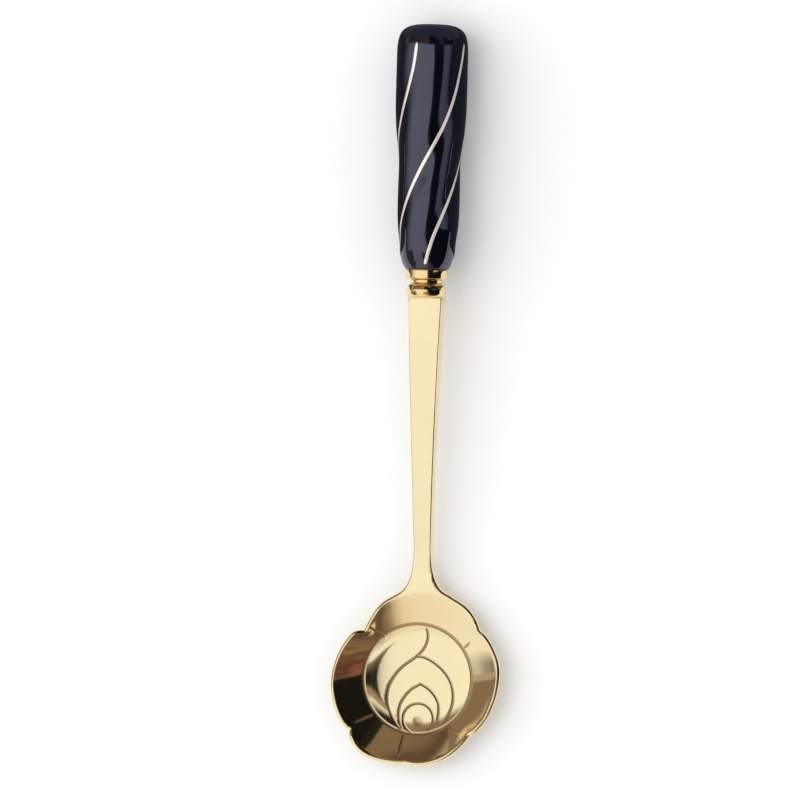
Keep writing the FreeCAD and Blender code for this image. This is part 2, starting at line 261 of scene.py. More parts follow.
RAYS = [[(-8.27, 8.59), (-9.90, 9.75), (-11.90, 11.10)], [(8.53, 6.84), (9.45, 7.50), (10.10, 8.45)],
        [(-10.68, -7.76), (-12.60, -8.75), (-14.40, -9.68)],
        [(-3.81, -11.80), (-4.20, -14.10), (-4.30, -16.30)],
        [(5.48, -9.52), (7.00, -10.45), (8.48, -11.13)]]
# each line: points, half width, depth, fade length at start, at end
GROOVES = [
    (circle(FLOWER_X, 0.0, GROOVE_R), 0.46, 0.15, 0.0, 0.0),
    (spline(S_CURVE, 0.2), 0.38, 0.11, 0.8, 0.2),
    (spline(OUTER_ARC, 0.2), 0.38, 0.10, 0.5, 1.0),
    (spline(INNER_LEFT, 0.2), 0.38, 0.10, 0.0, 0.2),
    (spline(INNER_RIGHT, 0.2), 0.38, 0.10, 0.0, 1.2),
    (circle(-0.96, -8.30, 3.2, 0.2, -52.0, 250.0), 0.36, 0.10, 0.8, 0.8),
] + [(spline(r, 0.2), 0.36, 0.12, 0.3, 1.2) for r in RAYS]
DIMPLE = (-1.03, -8.92, 1.20, 0.07)


class Lines:
    """Depth of the engraving at any point, from the nearest points of each line."""

    def __init__(self, grooves):
        self.cells = {}
        for g, (pts, half, depth, f0, f1) in enumerate(grooves):
            s = np.concatenate([[0], np.cumsum(np.linalg.norm(np.diff(pts, axis=0), axis=1))])
            fade = np.ones(len(s))
            if f0:
                fade *= smooth((s + 0.02) / f0)
            if f1:
                fade *= smooth((s[-1] - s + 0.02) / f1)
            for i in range(len(pts) - 1):
                a, b = pts[i], pts[i + 1]
                seg = (a[0], a[1], b[0], b[1], half, depth, fade[i], fade[i + 1], g)
                for cx in range(int(math.floor((min(a[0], b[0]) - half) / 1.0)),
                                int(math.floor((max(a[0], b[0]) + half) / 1.0)) + 1):
                    for cy in range(int(math.floor((min(a[1], b[1]) - half) / 1.0)),
                                    int(math.floor((max(a[1], b[1]) + half) / 1.0)) + 1):
                        self.cells.setdefault((cx, cy), []).append(seg)
        self.cells = {k: np.array(v) for k, v in self.cells.items()}

    def depth(self, x, y):
        x, y = np.atleast_1d(np.asarray(x, float)), np.atleast_1d(np.asarray(y, float))
        out = np.zeros(x.shape)
        cx, cy = np.floor(x).astype(int), np.floor(y).astype(int)
        key = cx * 1000 + cy
        order = np.argsort(key, kind="stable")
        sk = key[order]
        starts = np.concatenate([[0], np.nonzero(np.diff(sk))[0] + 1, [len(sk)]])
        for a, b in zip(starts[:-1], starts[1:]):
            idx = order[a:b]
            segs = self.cells.get((int(cx[idx[0]]), int(cy[idx[0]])))
            if segs is None:
                continue
            px, py = x[idx][:, None], y[idx][:, None]
            ax, ay, bx, by, half, depth, f0, f1, g = segs.T
            dx, dy = bx - ax, by - ay
            u = np.clip(((px - ax) * dx + (py - ay) * dy) / (dx * dx + dy * dy), 0, 1)
            dist = np.hypot(px - ax - u * dx, py - ay - u * dy)
            q = np.clip(1.0 - (dist / half) ** 2, 0, None)
            d = depth * (f0 + (f1 - f0) * u) * q * q
            total = np.zeros(len(idx))
            best = np.zeros(len(idx))
            for gi in np.unique(g):
                m = d[:, g == gi].max(axis=1)
                total += m
                best = np.maximum(best, m)
            out[idx] = best + 0.35 * (total - best)
        return out


LINES = Lines(GROOVES)


def engraved_top(x, y):
    z = plain_top(x, y) - LINES.depth(x, y)
    cx, cy, r, d = DIMPLE
    q = np.clip(1.0 - ((x - cx) ** 2 + (y - cy) ** 2) / (r * r), 0, None)
    return z - d * q * q


# ------------------------------------------------------------------ mesh helpers
def thin(points, gap, kept=None):
    """Drops points nearer than `gap` to one kept before, so that no sliver forms."""
    cells = {} if kept is None else kept
    out = []
    for x, y in points:
        k = (int(math.floor(x / 0.5)), int(math.floor(y / 0.5)))
        near = False
        for i in (-1, 0, 1):
            for j in (-1, 0, 1):
                for qx, qy in cells.get((k[0] + i, k[1] + j), ()):
                    if (qx - x) ** 2 + (qy - y) ** 2 < gap * gap:
                        near = True
                        break
                if near:
                    break
            if near:
                break
        if not near:
            cells.setdefault(k, []).append((x, y))
            out.append((x, y))
    return out, cells


def inside(poly, pts):
    x, y = pts[:, 0], pts[:, 1]
    hit = np.zeros(len(pts), bool)
    j = len(poly) - 1
    for i in range(len(poly)):
        xi, yi = poly[i]
        xj, yj = poly[j]
        if yi != yj:
            c = (yi > y) != (yj > y)
            hit ^= c & (x < (xj - xi) * (y - yi) / (yj - yi) + xi)
        j = i
    return hit


def hex_grid(x0, x1, y0, y1, s):
    rows = np.arange(y0, y1, s * 0.866)
    pts = []
    for k, y in enumerate(rows):
        xs = np.arange(x0 + (0.5 * s if k % 2 else 0.0), x1, s)
        pts.append(np.stack([xs, np.full(len(xs), y)], axis=1))
    return np.vstack(pts)


def new_object(name, verts_mm, faces, normals=None, smooth_shading=True, shift=True):
    v = np.array(verts_mm, float)
    if shift:
        v = v + np.array([OX, OY, 0.0])
    me = bpy.data.meshes.new(name)
    me.from_pydata((v * MM).tolist(), [], faces)
    me.validate()
    me.update()
    for p in me.polygons:
        p.use_smooth = smooth_shading
    if normals is not None:
        me.normals_split_custom_set_from_vertices([tuple(n) for n in normals])
    ob = bpy.data.objects.new(name, me)
    bpy.context.scene.collection.objects.link(ob)
    return ob


# ------------------------------------------------------------------ the stamped blank
def vertex_normals_2d(poly):
    t = np.roll(poly, -1, axis=0) - np.roll(poly, 1, axis=0)
    t /= np.linalg.norm(t, axis=1)[:, None]
    area = 0.5 * np.sum(poly[:, 0] * np.roll(poly[:, 1], -1) - np.roll(poly[:, 0], -1) * poly[:, 1])
    n = np.stack([t[:, 1], -t[:, 0]], axis=1)
    return n if area > 0 else -n


K = 19          # points round the edge section


def edge_sections(poly, out_n):
    """For each outline point, K points from the upper to the lower surface round the edge."""
    n = len(poly)
    sec = np.zeros((n, K, 3))
    for i in range(n):
        p, o = poly[i], out_n[i]
        y = p[1]
        th = float(thickness(y))
        w = float(smooth((y - 16.0) / 8.0))
        # the rim of the bowl: a full round on the edge of the sheet
        inner = p - 1.15 * o
        e = 0.1
        beta = math.atan2(float(plain_top(*(inner + e * o)) - plain_top(*(inner - e * o))), 2 * e)
        beta = max(0.0, beta)
        r = 0.5 * th
        c = p - r * o
        start = p - r * (1 + math.sin(beta)) * o
        zt = float(plain_top(*start))
        cz = zt - r * math.cos(beta)
        a = np.linspace(math.pi / 2 + beta, -math.pi / 2 + beta, K)
        bowl = np.stack([c[0] + r * np.cos(a) * o[0], c[1] + r * np.cos(a) * o[1],
                         cz + r * np.sin(a)], axis=1)
        # the stem: sides that lean in towards the top, small rounds at the corners
        zs = float(plain_top(*(p - 0.5 * o)))
        draft = th * math.tan(math.radians(9.0))
        rt, rb = min(0.24, 0.2 * th), min(0.34, 0.25 * th)
        prof = []
        m = (K - 1) // 2
        for k in range(m):
            t = math.pi / 2 * (1 - k / (m - 1)) + 0.0
            prof.append((draft + rt - rt * math.cos(t), zs - rt + rt * math.sin(t)))
        for k in range(K - m):
            t = -math.pi / 2 * (k / (K - m - 1))
            prof.append((rb - rb * math.cos(t), zs - th + rb + rb * math.sin(t)))
        stem = np.array([(p[0] - d * o[0], p[1] - d * o[1], z) for d, z in prof])
        sec[i] = (1 - w) * bowl + w * stem
    return sec


def build_blank():
    poly = outline()
    out_n = vertex_normals_2d(poly)
    # the stem's end is cut square: its corner normals lie across the stem
    ends = poly[:, 1] > STEM_END - 1e-6
    out_n[ends] = np.sign(poly[ends, :1]) * np.array([[1.0, 0.0]])
    sec = edge_sections(poly, out_n)
    n = len(poly)

    top_loop = sec[:, 0, :2]
    low_loop = sec[:, -1, :2]

    # points of the upper surface: boundary, lines of the engraving, then a filler
    kept = {}
    first, kept = thin([tuple(p) for p in top_loop], 0.0, kept)
    pts = []
    for pl, half, depth, f0, f1 in GROOVES:
        t = np.gradient(pl, axis=0)
        t /= np.linalg.norm(t, axis=1)[:, None]
        nn = np.stack([t[:, 1], -t[:, 0]], axis=1)
        for q in (0.0, 0.32, -0.32, 0.62, -0.62, 1.0, -1.0):
            pts += [tuple(v) for v in (pl + nn * half * q)]
    cx, cy, r, d = DIMPLE
    for k, rr in enumerate((0.0, 0.16, 0.32, 0.48, 0.64, 0.8, 0.96, 1.12)):
        pts += [tuple(v) for v in circle(cx, cy, rr, 0.16)] if rr else [(cx, cy)]
    rims = []
    for rr in np.concatenate([np.arange(12.2, 13.0, 0.2), np.arange(13.1, 19.4, 0.32)]):
        rims += [tuple(v) for v in circle(FLOWER_X, 0.0, rr, 0.3)]
    fill = [tuple(v) for v in hex_grid(-13.0, 11.0, -12.0, 12.0, 0.4)]
    stem = [(x, y) for y in np.arange(12.0, STEM_END - 0.3, 0.55) for x in np.arange(-9.9, 9.95, 0.55)]

    def wanted(points, margin_poly, near):
        a = np.array(points)
        ok = inside(margin_poly, a)
        return [tuple(v) for v in a[ok]]

    pts = wanted(pts, top_loop, 0)
    rims = wanted(rims, top_loop, 0)
    fill = wanted(fill, top_loop, 0)
    stem = wanted(stem, top_loop, 0)
    g_pts, kept = thin(pts, 0.075, kept)
    r_pts, kept = thin([p for p in rims if p[1] < 14.5], 0.2, kept)
    f_pts, kept = thin(fill, 0.26, kept)
    s_pts, kept = thin([p for p in stem if math.hypot(p[0] - FLOWER_X, p[1]) > 12.0], 0.34, kept)
    interior = g_pts + r_pts + f_pts + s_pts
    verts2 = [Vector(p) for p in top_loop] + [Vector(p) for p in interior]
    ring_edges = [(i, (i + 1) % n) for i in range(n)]
    v2, e2, f2, ov, oe, of_ = delaunay_2d_cdt(verts2, ring_edges, [], 1, 1e-5)
    # the boundary keeps its numbers, so the edge sections can be joined to it
    src = {}
    for i, o in enumerate(ov):
        for k in o:
            src.setdefault(k, i)
    top_ids = [src[i] for i in range(n)]
    xy = np.array([(v.x, v.y) for v in v2])
    z = engraved_top(xy[:, 0], xy[:, 1])
    verts = np.column_stack([xy, z])
    # boundary heights come from the sections
    for i in range(n):
        verts[top_ids[i], 2] = sec[i, 0, 2]
    e = 0.015
    gx, gy = gradient(engraved_top, xy[:, 0], xy[:, 1], e)
    nrm = np.column_stack([-gx, -gy, np.ones(len(xy))])
    nrm /= np.linalg.norm(nrm, axis=1)[:, None]
    # on the stem the flat top keeps its own normal right up to the edge
    for i in range(n):
        if poly[i, 1] < 26.0:
            nrm[top_ids[i]] = 0.0
    faces = []
    for f in f2:
        a, b, c = (xy[f[0]], xy[f[1]], xy[f[2]])
        area = (b[0] - a[0]) * (c[1] - a[1]) - (c[0] - a[0]) * (b[1] - a[1])
        faces.append(tuple(f) if area > 0 else tuple(reversed(f)))

    all_v = [tuple(v) for v in verts]
    all_n = [tuple(v) for v in nrm]
    ccw = 0.5 * np.sum(poly[:, 0] * np.roll(poly[:, 1], -1) - np.roll(poly[:, 0], -1) * poly[:, 1]) > 0
    ring = np.zeros((n, K), int)
    ring[:, 0] = top_ids
    for k in range(1, K):
        for i in range(n):
            ring[i, k] = len(all_v)
            all_v.append(tuple(sec[i, k]))
            all_n.append((0.0, 0.0, 0.0))
    for i in range(n):
        j = (i + 1) % n
        for k in range(K - 1):
            q = (ring[i, k], ring[i, k + 1], ring[j, k + 1], ring[j, k])
            faces.append(tuple(int(v) for v in (q if ccw else reversed(q))))

    # lower surface
    kept = {}
    first, kept = thin([tuple(p) for p in low_loop], 0.0, kept)
    lows = []
    for rr in np.arange(0.4, 19.4, 0.5):
        lows += [tuple(v) for v in circle(FLOWER_X, 0.0, rr, 0.5)]
    lows = [p for p in lows if p[1] < 14.0]
    lows += [(x, y) for y in np.arange(14.0, STEM_END - 0.3, 0.6) for x in np.arange(-9.9, 9.95, 0.6)]
    lows = wanted(lows, low_loop, 0)
    lows, kept = thin(lows, 0.3, kept)
    verts2 = [Vector(p) for p in low_loop] + [Vector(p) for p in lows]
    v2, e2, f2, ov, oe, of_ = delaunay_2d_cdt(verts2, ring_edges, [], 1, 1e-5)
    src = {}
    for i, o in enumerate(ov):
        for k in o:
            src.setdefault(k, i)
    ids = {}
    for i in range(n):
        ids[src[i]] = int(ring[i, K - 1])
    xy = np.array([(v.x, v.y) for v in v2])
    z = plain_bottom(xy[:, 0], xy[:, 1])
    for i in range(len(xy)):
        if i not in ids:
            ids[i] = len(all_v)
            all_v.append((xy[i, 0], xy[i, 1], max(0.0, z[i])))
            all_n.append((0.0, 0.0, 0.0))
    for f in f2:
        a, b, c = (xy[f[0]], xy[f[1]], xy[f[2]])
        area = (b[0] - a[0]) * (c[1] - a[1]) - (c[0] - a[0]) * (b[1] - a[1])
        t = tuple(ids[k] for k in f)
        faces.append(t if area < 0 else tuple(reversed(t)))

    # the flat tang that carries the rings and the handle
    tang = box_mesh(3.2, 40.0 + 1.5, 2.2, 0.25, y0=-1.5)
    base = len(all_v)
    tv = to_group(np.array(tang[0]))
    all_v += [tuple(v) for v in tv]
    all_n += [(0.0, 0.0, 0.0)] * len(tv)
    faces += [tuple(base + k for k in f) for f in tang[1]]
    ob = new_object("rose_bowl_and_stem", all_v, faces, all_n)
    # how deep in an engraved line or the dimple each point lies: rougher metal there, and a darker colour there that
    # is painted shade in the grooves
    groove_shade_and_dullness = np.zeros(len(ob.data.vertices))
    k = len(verts)
    groove_shade_and_dullness[:k] = np.clip(LINES.depth(verts[:, 0], verts[:, 1]) / 0.10, 0.0, 1.0)
    cx, cy, r, d = DIMPLE
    rr = np.hypot(verts[:, 0] - cx, verts[:, 1] - cy)
    # the dimple gets the same rougher metal and painted shade as the lines
    groove_shade_and_dullness[:k] = np.maximum(groove_shade_and_dullness[:k], 0.55 * smooth((r + 0.1 - rr) / 0.5))
    at = ob.data.attributes.new("engraving", "FLOAT", "POINT")
    at.data.foreach_set("value", groove_shade_and_dullness.astype(np.float32))
    return ob


def box_mesh(w, l, t, bevel, y0=0.0):
    bm = bmesh.new()
    bmesh.ops.create_cube(bm, size=1.0)
    for v in bm.verts:
        v.co = Vector((v.co.x * w, y0 + (v.co.y + 0.5) * l, v.co.z * t))
    bmesh.ops.bevel(bm, geom=list(bm.edges), offset=bevel, segments=3, profile=0.5, affect="EDGES")
    bm.verts.index_update()
    out = ([tuple(v.co) for v in bm.verts], [[v.index for v in f.verts] for f in bm.faces])
    bm.free()
    return out


TILT = Matrix.Rotation(math.radians(-HANDLE_TILT), 3, "X")
TILT_N = np.array(TILT)


def to_group(v):
    """From the handle's own frame (axis +Y from the stem's end) to the spoon's."""
    return v @ TILT_N.T + np.array([0.0, STEM_END, AXIS_Z])


# ------------------------------------------------------------------ lathed rings
def lathe(name, profile, segments=128, closed=True):
    """profile: (distance along the axis, radius) going round the section."""
    prof = np.array(profile, float)
    m = len(prof)
    a = np.linspace(0, 2 * math.pi, segments, endpoint=False)
    v = np.zeros((segments, m, 3))
    v[:, :, 0] = np.sin(a)[:, None] * prof[None, :, 1]
    v[:, :, 1] = prof[None, :, 0]
    v[:, :, 2] = np.cos(a)[:, None] * prof[None, :, 1]
    verts = to_group(v.reshape(-1, 3))
    faces = []
    for i in range(segments):
        j = (i + 1) % segments
        for k in range(m if closed else m - 1):
            l = (k + 1) % m
            faces.append((i * m + k, i * m + l, j * m + l, j * m + k))
    ob = new_object(name, verts, faces)
    fix_normals(ob)
    return ob


def fix_normals(ob):
    bm = bmesh.new()
    bm.from_mesh(ob.data)
    bmesh.ops.recalc_face_normals(bm, faces=bm.faces)
    bm.to_mesh(ob.data)
    bm.free()
    for p in ob.data.polygons:
        p.use_smooth = True


def arc(cx, cy, r, a0, a1, n):
    a = np.radians(np.linspace(a0, a1, n))
    return [(cx + r * math.cos(t), cy + r * math.sin(t)) for t in a]


def ring_profile(y0, y1, radius, edge, hole, crown=0.0, n=7):
    """Section of a ring: rounded outer edges, optional crowned middle, small inner bevels."""
    p = []
    p += arc(y0 + edge, radius - edge, edge, 180, 90, n)
    if crown:
        ys = np.linspace(y0 + edge, y1 - edge, 9)[1:-1]
        mid, half = 0.5 * (y0 + y1), 0.5 * (y1 - y0) - edge
        p += [(y, radius + crown * (1 - ((y - mid) / half) ** 2)) for y in ys]
    p += arc(y1 - edge, radius - edge, edge, 90, 0, n)
    b = 0.08
    p += [(y1, hole + b), (y1 - b, hole), (y0 + b, hole), (y0, hole + b)]
    return p


# ------------------------------------------------------------------ the ceramic handle
HANDLE_RADIUS = [(0.0, 4.50), (0.40, 4.74), (1.3, 5.22), (2.5, 5.62), (3.8, 5.90), (6.2, 6.15),
                 (8.8, 6.40), (11.3, 6.46), (18.8, 6.46), (21.3, 6.57), (23.8, 6.80),
                 (26.3, 7.05), (28.8, 7.25), (31.3, 7.35), (33.8, 7.42), (43.8, 7.43),
                 (46.3, 7.38), (47.6, 7.21), (48.8, 6.86), (49.9, 6.06), (50.6, 4.80),
                 (50.95, 3.30)]
TWIST = [(0.0, -86.0), (0.4, -85.0), (6.3, -69.0), (14.8, -35.0), (22.8, 3.5), (25.3, 15.5),
         (31.4, 39.5), (38.7, 60.5), (43.5, 70.0), (47.3, 74.0), (51.0, 76.0)]


def handle_radius(s, phi_deg):
    r = pchip(HANDLE_RADIUS, s)
    depth = VALLEY * smooth((s - 0.5) / 7.0) * smooth((HANDLE_L - 2.0 - s) / 9.0)
    a = np.radians(phi_deg - pchip(TWIST, s))
    c = 0.5 + 0.5 * np.cos(4.0 * a)
    return r - depth * c ** 1.5


def build_handle():
    nphi = 288
    s_main = np.concatenate([np.linspace(0.0, 2.0, 12), np.linspace(2.0, 46.0, 200)[1:],
                             np.linspace(46.0, HANDLE_L - 0.03, 44)[1:]])
    phi = np.linspace(0, 360, nphi, endpoint=False)
    rows = []
    for s in s_main:
        rows.append((np.full(nphi, s), handle_radius(np.full(nphi, s), phi)))
    # butt: the last rows close the nearly flat end
    s_end, r_end = rows[-1][0], rows[-1][1]
    for k, f in enumerate((0.86, 0.7, 0.5, 0.3, 0.12)):
        rows.append((np.full(nphi, HANDLE_L - 0.03 + 0.03 * (1 - f * f)), r_end * f))
    v = []
    for s, r in rows:
        a = np.radians(phi)
        v.append(np.stack([r * np.sin(a), HANDLE_0 + s, r * np.cos(a)], axis=1))
    # the collar end: glaze rolls in to the flat end, then the blind hole
    head = []
    r0 = rows[0][1]
    for f in (0.45, 0.8, 1.0):
        pass
    for s, r in ((0.0, 4.25), (0.0, 3.55), (0.0, 3.32), (0.10, 3.2), (6.0, 3.2), (20.0, 3.2),
                 (36.7, 3.2), (37.0, 2.9), (37.0, 1.4)):
        a = np.radians(phi)
        rr = np.full(nphi, r)
        head.append(np.stack([rr * np.sin(a), HANDLE_0 + np.full(nphi, s), rr * np.cos(a)], axis=1))
    grid = list(reversed(head)) + v
    m = len(grid)
    verts = np.vstack(grid)
    faces = []
    for k in range(m - 1):
        for i in range(nphi):
            j = (i + 1) % nphi
            faces.append((k * nphi + i, (k + 1) * nphi + i, (k + 1) * nphi + j, k * nphi + j))
    verts = np.vstack([verts, [[0, HANDLE_0 + 37.0, 0]], [[0, HANDLE_0 + HANDLE_L, 0]]])
    c0, c1 = len(verts) - 2, len(verts) - 1
    for i in range(nphi):
        j = (i + 1) % nphi
        faces.append((c0, i, j))
        faces.append((c1, (m - 1) * nphi + j, (m - 1) * nphi + i))
    ob = new_object("twisted_ceramic_handle", to_group(verts), faces)
    fix_normals(ob)
    return ob


def build_lines():
    """Four gold lines, each a thin flat bead laid in the bottom of its valley."""
    verts, faces = [], []
    s0, s1, n = 0.9, 46.9, 220
    width, sink, proud = 0.82, 0.05, 0.035
    across = [(-1.0, 0.0), (-0.8, 0.7), (-0.4, 1.0), (0.0, 1.0), (0.4, 1.0), (0.8, 0.7), (1.0, 0.0)]
    for line in range(4):
        base = len(verts)
        rows = []
        for i in range(n + 1):
            s = s0 + (s1 - s0) * i / n
            phi = float(pchip(TWIST, s)) + 90.0 * line
            slope = math.radians(float(pchip(TWIST, s + 0.2) - pchip(TWIST, s - 0.2))) / 0.4
            r = float(handle_radius(s, phi))
            half = 0.5 * width * math.sqrt(1 + (slope * r) ** 2)
            end = min(1.0, (s - s0 + 0.05) / 0.6, (s1 - s + 0.05) / 1.6)
            half *= math.sqrt(max(0.05, 1 - (1 - end) ** 2))
            row = []
            for a, h in across:
                ph = phi + math.degrees(a * half / r)
                rr = float(handle_radius(s, ph)) - sink * (1 - h) + proud * h
                row.append((ph, rr))
            ph = phi
            for a in (0.9, 0.0, -0.9):
                p2 = phi + math.degrees(a * half / r)
                row.append((p2, float(handle_radius(s, p2)) - sink - 0.05))
            for ph, rr in row:
                t = math.radians(ph)
                verts.append((rr * math.sin(t), HANDLE_0 + s, rr * math.cos(t)))
        m = len(across) + 3
        for i in range(n):
            for k in range(m):
                l = (k + 1) % m
                a = base + i * m
                faces.append((a + k, a + l, a + m + l, a + m + k))
        faces.append(tuple(base + k for k in range(m)))
        faces.append(tuple(base + n * m + k for k in reversed(range(m))))
    ob = new_object("gold_twist_lines", to_group(np.array(verts)), faces)
    fix_normals(ob)
    return ob


# ------------------------------------------------------------------ materials
def material(name):
    m = bpy.data.materials.new(name)
    m.use_nodes = True
    nt = m.node_tree
    bsdf = nt.nodes["Principled BSDF"]
    return m, nt, bsdf


def noise(nt, scale, detail=3.0, rough=0.5, coords=None, stretch=None):
    tc = nt.nodes.new("ShaderNodeTexCoord")
    n = nt.nodes.new("ShaderNodeTexNoise")
    n.inputs["Scale"].default_value = scale
    n.inputs["Detail"].default_value = detail
    n.inputs["Roughness"].default_value = rough
    if stretch:
        mp = nt.nodes.new("ShaderNodeMapping")
        mp.inputs["Scale"].default_value = stretch
        nt.links.new(tc.outputs["Object"], mp.inputs["Vector"])
        nt.links.new(mp.outputs["Vector"], n.inputs["Vector"])
    else:
        nt.links.new(tc.outputs["Object"], n.inputs["Vector"])
    return n


def ramp(nt, src, stops):
    r = nt.nodes.new("ShaderNodeValToRGB")
    els = r.color_ramp.elements
    while len(els) < len(stops):
        els.new(0.5)
    for el, (p, c) in zip(els, stops):
        el.position = p
        el.color = c if len(c) == 4 else (*c, 1.0)
    nt.links.new(src, r.inputs["Fac"])
    return r


def gold_material(name, col_a, col_b, rough_a, rough_b, bump=0.02, engraved=False):
    m, nt, b = material(name)
    b.inputs["Metallic"].default_value = 1.0
    n1 = noise(nt, 90.0, 4.0, 0.55)
    c = ramp(nt, n1.outputs["Fac"], [(0.3, col_a), (0.7, col_b)])
    nt.links.new(c.outputs["Color"], b.inputs["Base Color"])
    # fine polishing lines along the spoon, and faint handling marks
    n2 = noise(nt, 900.0, 3.0, 0.6, stretch=(6.0, 0.35, 6.0))
    r = nt.nodes.new("ShaderNodeMapRange")
    r.inputs["From Min"].default_value = 0.3
    r.inputs["From Max"].default_value = 0.7
    r.inputs["To Min"].default_value = rough_a
    r.inputs["To Max"].default_value = rough_b
    nt.links.new(n2.outputs["Fac"], r.inputs["Value"])
    nt.links.new(r.outputs["Result"], b.inputs["Roughness"])
    # in the engraved lines and the dimple: rougher metal, and the base colour mixed towards dark brown as painted
    # shade in the grooves
    if engraved:
        at = nt.nodes.new("ShaderNodeAttribute")
        at.attribute_name = "engraving"
        mix = nt.nodes.new("ShaderNodeMix")
        mix.data_type = "RGBA"
        # dark brown: painted shade for the bottoms of the grooves
        mix.inputs[7].default_value = (0.40, 0.25, 0.11, 1.0)
        fac = nt.nodes.new("ShaderNodeMath")
        fac.operation = "MULTIPLY"
        fac.inputs[1].default_value = 0.75
        nt.links.new(at.outputs["Fac"], fac.inputs[0])
        nt.links.new(fac.outputs[0], mix.inputs[0])
        nt.links.new(c.outputs["Color"], mix.inputs[6])
        nt.links.new(mix.outputs[2], b.inputs["Base Color"])
        add = nt.nodes.new("ShaderNodeMath")
        add.operation = "MULTIPLY_ADD"
        add.inputs[1].default_value = 0.30
        nt.links.new(at.outputs["Fac"], add.inputs[0])
        nt.links.new(r.outputs["Result"], add.inputs[2])
        nt.links.new(add.outputs[0], b.inputs["Roughness"])
    bp = nt.nodes.new("ShaderNodeBump")
    bp.inputs["Strength"].default_value = bump
    bp.inputs["Distance"].default_value = 0.00002
    nt.links.new(n2.outputs["Fac"], bp.inputs["Height"])
    nt.links.new(bp.outputs["Normal"], b.inputs["Normal"])
    return m


def glaze_material():
    m, nt, b = material("dark_navy_glaze")
    n1 = noise(nt, 120.0, 3.0, 0.5)
    c = ramp(nt, n1.outputs["Fac"], [(0.25, (0.0018, 0.0018, 0.005)), (0.75, (0.003, 0.003, 0.008))])
    nt.links.new(c.outputs["Color"], b.inputs["Base Color"])
    b.inputs["IOR"].default_value = 1.62
    b.inputs["Specular IOR Level"].default_value = 0.92
    b.inputs["Specular Tint"].default_value = (0.76, 0.74, 1.0, 1.0)
    n2 = noise(nt, 60.0, 2.0, 0.4)
    r = nt.nodes.new("ShaderNodeMapRange")
    r.inputs["To Min"].default_value = 0.05
    r.inputs["To Max"].default_value = 0.09
    nt.links.new(n2.outputs["Fac"], r.inputs["Value"])
    nt.links.new(r.outputs["Result"], b.inputs["Roughness"])
    bp = nt.nodes.new("ShaderNodeBump")
    bp.inputs["Strength"].default_value = 0.12
    bp.inputs["Distance"].default_value = 0.0004
    nt.links.new(n2.outputs["Fac"], bp.inputs["Height"])
    nt.links.new(bp.outputs["Normal"], b.inputs["Normal"])
    return m


def line_material():
    m, nt, b = material("fired_gold_line")
    b.inputs["Metallic"].default_value = 0.45
    n1 = noise(nt, 700.0, 4.0, 0.6)
    c = ramp(nt, n1.outputs["Fac"], [(0.3, (0.94, 0.83, 0.72)), (0.7, (0.98, 0.91, 0.82))])
    nt.links.new(c.outputs["Color"], b.inputs["Base Color"])
    r = nt.nodes.new("ShaderNodeMapRange")
    r.inputs["To Min"].default_value = 0.20
    r.inputs["To Max"].default_value = 0.28
    nt.links.new(n1.outputs["Fac"], r.inputs["Value"])
    nt.links.new(r.outputs["Result"], b.inputs["Roughness"])
    bp = nt.nodes.new("ShaderNodeBump")
    bp.inputs["Strength"].default_value = 0.15
    bp.inputs["Distance"].default_value = 0.00003
    nt.links.new(n1.outputs["Fac"], bp.inputs["Height"])
    nt.links.new(bp.outputs["Normal"], b.inputs["Normal"])
    return m


def glue_material():
    m, nt, b = material("cured_epoxy")
    n1 = noise(nt, 400.0, 4.0, 0.5)
    c = ramp(nt, n1.outputs["Fac"], [(0.3, (0.62, 0.56, 0.42)), (0.7, (0.74, 0.69, 0.55))])
    nt.links.new(c.outputs["Color"], b.inputs["Base Color"])
    b.inputs["Roughness"].default_value = 0.45
    return m


def assign(ob, m):
    ob.data.materials.clear()
    ob.data.materials.append(m)


GOLD = gold_material("polished_gold_tone", (0.91, 0.760, 0.475), (0.95, 0.800, 0.510), 0.07, 0.11,
                     engraved=True)
GOLD_RING = gold_material("polished_gold_ring", (0.88, 0.66, 0.34), (0.92, 0.71, 0.39), 0.06, 0.10)
GLAZE = glaze_material()
LINE = line_material()
GLUE = glue_material()

blank = build_blank()
assign(blank, GOLD)
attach(blank, "root")
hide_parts("bowl_and_stem")

bead = lathe("bead_ring_turned", ring_profile(0.0, BEAD_L, 4.10, 1.05, 2.0, crown=0.05, n=12))
spacer = lathe("spacer_ring_turned", ring_profile(BEAD_L, BEAD_L + SPACER_L, 3.3, 0.22, 2.0))
collar = lathe("collar_ring_turned", ring_profile(BEAD_L + SPACER_L, HANDLE_0, 4.4, 0.3, 2.0))
for ob, node in ((bead, "bead_ring"), (spacer, "spacer_ring"), (collar, "collar_ring")):
    assign(ob, GOLD_RING)
    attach(ob, "root")
    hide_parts(node)

handle = build_handle()
assign(handle, GLAZE)
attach(handle, "root")
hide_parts("ceramic_handle")

lines = build_lines()
assign(lines, LINE)
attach(lines, "root")
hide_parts("gold_spiral_lines")

assign(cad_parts["adhesive_fill"], GLUE)

# ------------------------------------------------------------------ stage
def plane(name, corners):
    me = bpy.data.meshes.new(name)
    me.from_pydata(corners, [], [tuple(range(len(corners)))])
    me.update()
    ob = bpy.data.objects.new(name, me)
    bpy.context.scene.collection.objects.link(ob)
    return ob


floor = plane("floor", [(-4, -4, -0.00002), (4, -4, -0.00002), (4, 4, -0.00002), (-4, 4, -0.00002)])
fm, fnt, fb = material("pale_floor")
fb.inputs["Base Color"].default_value = (0.92, 0.92, 0.93, 1)
fb.inputs["Roughness"].default_value = 0.9
fb.inputs["Specular IOR Level"].default_value = 0.1
assign(floor, fm)


